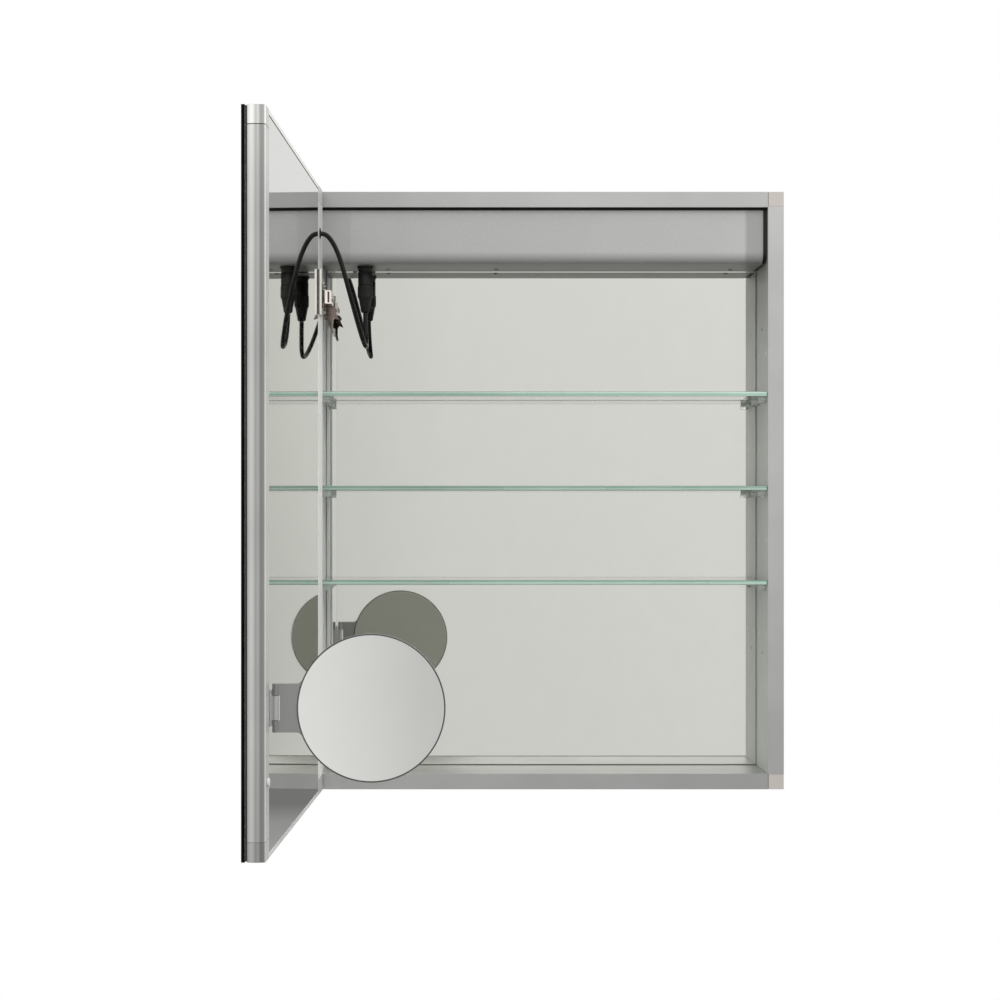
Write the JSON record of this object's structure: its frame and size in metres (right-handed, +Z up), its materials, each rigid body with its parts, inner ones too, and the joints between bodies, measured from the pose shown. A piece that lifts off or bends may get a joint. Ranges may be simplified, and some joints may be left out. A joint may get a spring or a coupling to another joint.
{
  "type": "medicine cabinet",
  "caption": "Wall cabinet with a mirrored door swung open, glass shelves, a mirror back, a lighting compartment with a lead to the door, and a folding magnifying mirror.",
  "frame": {"origin": "centre of the cabinet's back face, which lies on the wall", "axes": "+X to the viewer's right, +Y into the wall, +Z up; the door is open as stored"},
  "size_m": [0.6356, 0.7296, 0.762],
  "materials": {
    "frame_aluminium": "satin anodised",
    "corner_block": "satin",
    "back_sheet": "satin",
    "back_mirror": "polished",
    "shelf_glass": "polished",
    "support_plastic": "gloss",
    "cover_paint": "satin",
    "black_plastic": "matt",
    "black_rubber": "matt",
    "lead_sheath": "semi-gloss",
    "zinc": "satin",
    "nickel": "polished",
    "driver_case": "matt",
    "terminal_plastic": "matt",
    "door_mirror": "polished",
    "door_backing": "matt",
    "door_aluminium": "satin anodised",
    "door_block": "polished",
    "inner_mirror": "polished",
    "diffuser": "opal",
    "led_board": "matt",
    "bumper": "matt",
    "magnifier_metal": "satin",
    "magnifier_back": "satin",
    "magnifier_mirror": "polished"
  },
  "bodies": {
    "carcass": {"side_profile_left": "frame_aluminium", "side_profile_right": "frame_aluminium", "top_profile": "frame_aluminium", "bottom_profile": "frame_aluminium", "cabinet_corner_blocks": "corner_block", "back_panel": "back_sheet", "back_mirror": "back_mirror", "shelf_upper": "shelf_glass", "shelf_middle": "shelf_glass", "shelf_lower": "shelf_glass", "shelf_supports_upper": "support_plastic", "shelf_supports_middle": "support_plastic", "shelf_supports_lower": "support_plastic", "driver_cover": "cover_paint", "cover_end_cap_left": "black_plastic", "cover_end_cap_right": "black_plastic", "cover_seal": "black_rubber", "cover_screws": "zinc", "driver_tray": "zinc", "led_driver": "driver_case", "terminal_block": "terminal_plastic", "panel_socket": "black_plastic", "socket_nut": "black_plastic", "cable_plug": "black_plastic", "door_lead": "lead_sheath", "hinge_plate_upper": "nickel", "hinge_plate_lower": "nickel", "hinge_arm_upper": "nickel", "hinge_arm_lower": "nickel", "hinge_adjusters_upper": "nickel", "hinge_adjusters_lower": "nickel", "hinge_lever_upper": "nickel", "hinge_lever_lower": "nickel", "hinge_plate_screws": "zinc"},
    "door": {"door_front_mirror": "door_mirror", "door_backing": "door_backing", "door_hinge_stile": "door_aluminium", "door_free_stile": "door_aluminium", "door_top_rail": "door_aluminium", "door_bottom_rail": "door_aluminium", "door_corner_blocks": "door_block", "door_inner_mirror": "inner_mirror", "light_diffusers": "diffuser", "lamp_channels": "zinc", "led_strips": "led_board", "lead_grommet": "black_rubber", "door_bumper": "bumper", "hinge_cup_upper": "nickel", "hinge_cup_lower": "nickel", "hinge_pin_upper": "nickel", "hinge_pin_lower": "nickel", "hinge_cup_screws": "zinc", "magnifier_bracket": "magnifier_metal", "magnifier_pin": "nickel"},
    "magnifier": {"magnifier_arm": "magnifier_metal", "magnifier_shell": "magnifier_back", "magnifier_rim": "magnifier_metal", "magnifier_glass": "magnifier_mirror"}
  },
  "joints": [
    {"name": "door_swing", "type": "hinge", "parent": "carcass", "child": "door", "pos_m": [-0.2955, -0.1295, 0], "axis": [0, 0, -1], "range_deg": [-92.2, 17.8], "deforming": ["door_lead"]},
    {"name": "magnifier_fold", "type": "hinge", "parent": "door", "child": "magnifier", "pos_m": [-0.29921, -0.68727, -0.229], "axis": [0, 0, -1], "range_deg": [-87.8, 20]}
  ],
  "couplings": [
    {"joint": "magnifier_fold", "follows": "door_swing", "ratio": 0.9522}
  ]
}
